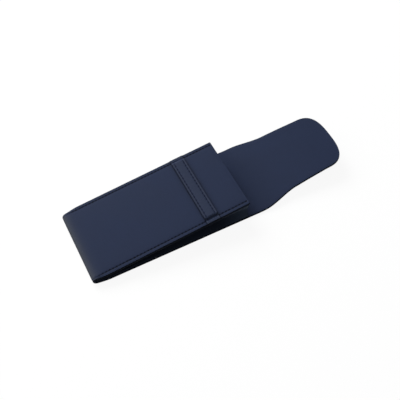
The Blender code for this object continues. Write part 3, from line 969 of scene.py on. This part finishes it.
def make_stitches(material):
    """All rows of stitches, by their place on the pouch."""
    made = {}
    for name, side in SIDES.items():
        front = side_stitches(side, SEAM_START, S_FOLD)
        back = side_stitches(side, S_FOLD, SEAM_END)
        made[f"front_{name}"] = stitches(f"stitches_front_{name}", front, material)
        made[f"back_{name}"] = stitches(f"stitches_back_{name}", back, material)
    for name, row in STRAP_ROWS.items():
        made[f"band_{name}"] = stitches(f"stitches_strap_{name}", strap_stitches(row), material)
    return made


# Materials


class Nodes:
    """A material's shader nodes, added and linked in a short way."""

    def __init__(self, name):
        self.material = bpy.data.materials.new(name)
        self.material.use_nodes = True
        self.tree = self.material.node_tree
        self.shader = self.tree.nodes["Principled BSDF"]
        self.place = self.add("ShaderNodeTexCoord").outputs["Object"]

    def add(self, kind, inputs=None, **settings):
        node = self.tree.nodes.new(kind)
        for key, value in settings.items():
            setattr(node, key, value)
        for key, value in (inputs or {}).items():
            if isinstance(value, bpy.types.NodeSocket):
                self.tree.links.new(value, node.inputs[key])
            else:
                node.inputs[key].default_value = value
        return node

    def set(self, key, value):
        """Links a socket to the shader's input, or sets the input to a number."""
        if isinstance(value, bpy.types.NodeSocket):
            self.tree.links.new(value, self.shader.inputs[key])
        else:
            self.shader.inputs[key].default_value = value

    def noise(self, scale, detail, roughness=0.5):
        inputs = {"Vector": self.place, "Scale": scale, "Detail": detail, "Roughness": roughness}
        return self.add("ShaderNodeTexNoise", inputs).outputs["Fac"]

    # The painted light and shade kept on each mesh's points
    def painted_light(self):
        return self.add("ShaderNodeAttribute", attribute_name="painted_light").outputs["Fac"]

    def ramp(self, value, low, high, start, end):
        inputs = {"Value": value, "From Min": low, "From Max": high, "To Min": start, "To Max": end}
        return self.add("ShaderNodeMapRange", inputs).outputs["Result"]

    def spread(self, value, start, end):
        """A noise's usual range, spread from start to end."""
        return self.ramp(value, NOISE_LOW, NOISE_HIGH, start, end)

    def mixed(self, share, low, high):
        """A colour between two. Each is a socket or red, green, blue and alpha."""
        inputs = {"Factor": share, "A": low, "B": high}
        return self.add("ShaderNodeMix", inputs, data_type="RGBA").outputs["Result"]

    def scaled(self, colour, share):
        inputs = {0: colour, "Scale": share}
        return self.add("ShaderNodeVectorMath", inputs, operation="SCALE").outputs["Vector"]

    def bump(self, height, distance, strength, normal=None):
        inputs = {"Height": height, "Distance": distance, "Strength": strength}
        if normal:
            inputs["Normal"] = normal
        return self.add("ShaderNodeBump", inputs).outputs["Normal"]


def leather_material(name, colour, painted_light_colour, roughness, specular, grain, grain_strength):
    """Fine-grained leather, painted darker as painted shade where its painted light is below 0, and painted
    paler and greyer as painted sheen and highlights where it is above.
    """
    nodes = Nodes(name)
    voronoi = {"Vector": nodes.place, "Scale": 1 / grain}
    cells = nodes.add("ShaderNodeTexVoronoi", voronoi, feature="DISTANCE_TO_EDGE").outputs["Distance"]
    fine = nodes.noise(FINE_GRAIN_SCALE / grain, detail=4)
    creases = nodes.noise(CREASE_SCALE, detail=3)
    clouds = nodes.noise(CLOUD_SCALE, detail=5, roughness=CLOUD_ROUGHNESS)
    normal = nodes.bump(creases, CREASE_HEIGHT, CREASE_STRENGTH)
    pebbles = nodes.ramp(cells, 0, PEBBLE_EDGE_SHARE, 0, 1)
    normal = nodes.bump(pebbles, PEBBLE_HEIGHT, grain_strength, normal)
    nodes.set("Normal", nodes.bump(fine, FINE_GRAIN_HEIGHT, grain_strength, normal))
    tone = nodes.spread(clouds, 1 - MOTTLE_SHARE, 1 + MOTTLE_SHARE)
    valley = nodes.ramp(cells, 0, VALLEY_EDGE_SHARE, VALLEY_TONE_SHARE, 1)
    shade = nodes.add("ShaderNodeMath", {0: tone, 1: valley}, operation="MULTIPLY").outputs[0]
    painted_light = nodes.painted_light()
    # Painted shade darkens the colour below 0; painted sheen and highlights mix in the paler colour above 0
    shaded_colour = nodes.scaled(colour, nodes.ramp(painted_light, -1, 0, DARKEST_SHADE_SHARE, 1))
    lit_and_shaded_colour = nodes.mixed(nodes.ramp(painted_light, 0, 1, 0, 1), shaded_colour, (*painted_light_colour, 1))
    nodes.set("Base Color", nodes.scaled(lit_and_shaded_colour, shade))
    nodes.set("Roughness", nodes.spread(clouds, roughness - ROUGHNESS_SPREAD, roughness + ROUGHNESS_SPREAD))
    nodes.set("Specular IOR Level", specular)
    return nodes.material


def paint_material(name, colour, pale, specular):
    """Lumpy edge paint, which is painted pale where its painted light is 1."""
    nodes = Nodes(name)
    lumps = nodes.noise(PAINT_LUMP_SCALE, detail=3)
    tone = nodes.spread(lumps, 1 - PAINT_MOTTLE_SHARE, 1 + PAINT_MOTTLE_SHARE)
    nodes.set("Base Color", nodes.scaled(nodes.mixed(nodes.painted_light(), (*colour, 1), (*pale, 1)), tone))
    nodes.set("Normal", nodes.bump(lumps, PAINT_LUMP_HEIGHT, PAINT_LUMP_STRENGTH))
    nodes.set("Roughness", nodes.spread(lumps, *PAINT_ROUGHNESS))
    nodes.set("Specular IOR Level", specular)
    return nodes.material


def fibre_material(name, colour, scale, detail, tone_shares, height, strength, roughness, specular):
    """Thread or leatherboard, whose tone and bumps follow the same noise."""
    nodes = Nodes(name)
    fibre = nodes.noise(scale, detail)
    nodes.set("Base Color", nodes.scaled(colour, nodes.spread(fibre, *tone_shares)))
    nodes.set("Normal", nodes.bump(fibre, height, strength))
    nodes.set("Roughness", roughness)
    nodes.set("Specular IOR Level", specular)
    return nodes.material


# Camera, lamps, world and floor


def add_turned(name, data, place, look):
    """An object at a place that looks along a direction, as cameras and lamps do."""
    item = bpy.data.objects.new(name, data)
    item.location = place
    item.rotation_mode = "QUATERNION"
    item.rotation_quaternion = look.to_track_quat("-Z", "Y")
    bpy.context.scene.collection.objects.link(item)
    return item


def make_camera():
    data = bpy.data.cameras.new("camera")
    data.lens = CAMERA_LENS
    data.sensor_width = SENSOR_WIDTH
    level = math.cos(CAMERA_ELEVATION)
    across = math.cos(CAMERA_AZIMUTH) * level
    back = Vector((across, math.sin(CAMERA_AZIMUTH) * level, math.sin(CAMERA_ELEVATION)))
    bpy.context.scene.camera = add_turned("camera", data, CAMERA_AIM + back * CAMERA_DISTANCE, -back)


def area_light(name, place, size, power):
    """A soft lamp that looks at the middle of the floor."""
    data = bpy.data.lights.new(name, "AREA")
    data.shape = "SQUARE"
    data.size = size
    data.energy = power
    add_turned(name, data, place, -Vector(place))


def seen_white(tree):
    """1 for rays that come from the camera or a reflection, which see the studio as white."""
    rays = tree.nodes.new("ShaderNodeLightPath")
    seen = rays.outputs["Is Camera Ray"]
    for name in ("Is Glossy Ray", "Is Transmission Ray"):
        either = tree.nodes.new("ShaderNodeMath")
        either.operation = "MAXIMUM"
        tree.links.new(seen, either.inputs[0])
        tree.links.new(rays.outputs[name], either.inputs[1])
        seen = either.outputs[0]
    return seen


def make_world():
    world = bpy.data.worlds.new("studio")
    bpy.context.scene.world = world
    world.use_nodes = True
    tree = world.node_tree
    background = tree.nodes["Background"]
    background.inputs["Color"].default_value = WHITE
    level = tree.nodes.new("ShaderNodeMix")
    level.inputs["A"].default_value = WORLD_STRENGTH
    level.inputs["B"].default_value = 1
    tree.links.new(seen_white(tree), level.inputs["Factor"])
    tree.links.new(level.outputs["Result"], background.inputs["Strength"])


def floor_material():
    """Pale to the light, and mostly glowing white to what sees it, so that a soft shadow stays."""
    material = bpy.data.materials.new("floor")
    material.use_nodes = True
    tree = material.node_tree
    tree.nodes.remove(tree.nodes["Principled BSDF"])
    white = seen_white(tree)
    tones = tree.nodes.new("ShaderNodeMix")
    tones.data_type = "RGBA"
    tones.inputs["A"].default_value = (*FLOOR_COLOUR, 1)
    tones.inputs["B"].default_value = WHITE
    pale = tree.nodes.new("ShaderNodeBsdfDiffuse")
    glow = tree.nodes.new("ShaderNodeEmission")
    glow.inputs["Color"].default_value = WHITE
    glow.inputs["Strength"].default_value = 1
    white_share = tree.nodes.new("ShaderNodeMath")
    white_share.operation = "MULTIPLY"
    white_share.inputs[1].default_value = FLOOR_WHITE_SHARE
    both = tree.nodes.new("ShaderNodeMixShader")
    tree.links.new(white, tones.inputs["Factor"])
    tree.links.new(tones.outputs["Result"], pale.inputs["Color"])
    tree.links.new(white, white_share.inputs[0])
    tree.links.new(white_share.outputs[0], both.inputs["Fac"])
    tree.links.new(pale.outputs[0], both.inputs[1])
    tree.links.new(glow.outputs[0], both.inputs[2])
    tree.links.new(both.outputs[0], tree.nodes["Material Output"].inputs["Surface"])
    return material


def make_floor():
    bpy.ops.mesh.primitive_plane_add(size=FLOOR_SIZE)
    floor = bpy.context.object
    floor.name = "floor"
    floor.data.materials.append(floor_material())


bpy.context.scene.view_settings.view_transform = "Standard"
make_camera()
make_world()
area_light("key", KEY_PLACE, KEY_SIZE, KEY_POWER)
area_light("card", CARD_PLACE, CARD_SIZE, CARD_POWER)
make_floor()

hide_leather = leather_material("hide_leather", **HIDE_FINISH)
lining_leather = leather_material("lining_leather", **LINING_FINISH)
shaded_gusset_leather = leather_material("shaded_gusset_leather", **SHADED_GUSSET_FINISH)
paint = paint_material("edge_paint", **PAINT_FINISH)
strap_edge = paint_material("strap_edge_paint", **STRAP_PAINT_FINISH)
thread = fibre_material("sewing_thread", **THREAD_FINISH)
board = fibre_material("leatherboard", **BOARD_FINISH)

pouch_hide, tongue_hide = make_hide(hide_leather)
pouch_lining, tongue_lining = make_lining(lining_leather)
pouch_paint, tongue_paint = make_edge_paint(paint)
strap = make_strap_leather(hide_leather)
strap_paint = make_strap_paint(strap_edge)
gussets = {name: make_gusset(name, side, shaded_gusset_leather) for name, side in SIDES.items()}
threads = make_stitches(thread)
tongue_board = make_tongue_board(board)

shown_as_cad = {"front_board": board, "back_board": board, "keeper_band_backing": lining_leather}
for name, material in shown_as_cad.items():
    frame["nodes"][name].data.materials.clear()
    frame["nodes"][name].data.materials.append(material)

# What moves with what. The pouch's and the tongue's pieces keep their places in the world, and the strap,
# gussets and stitches are attached to the pouch's body
for piece in (pouch_hide, pouch_lining, pouch_paint):
    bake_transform(piece)
for piece in (tongue_hide, tongue_lining, tongue_paint, tongue_board):
    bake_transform(piece)
for piece in (strap, strap_paint, *gussets.values(), *threads.values()):
    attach(piece, "pouch")

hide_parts("body_leather", "flap_neck_leather")
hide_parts("body_lining", "flap_neck_lining")
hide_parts("flap_tongue_leather")
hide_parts("flap_tongue_lining")
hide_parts("flap_tongue_board")
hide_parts("keeper_band")
for name, piece in gussets.items():
    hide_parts(f"gusset_{name}")
for name, piece in threads.items():
    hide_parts(f"thread_{name}")
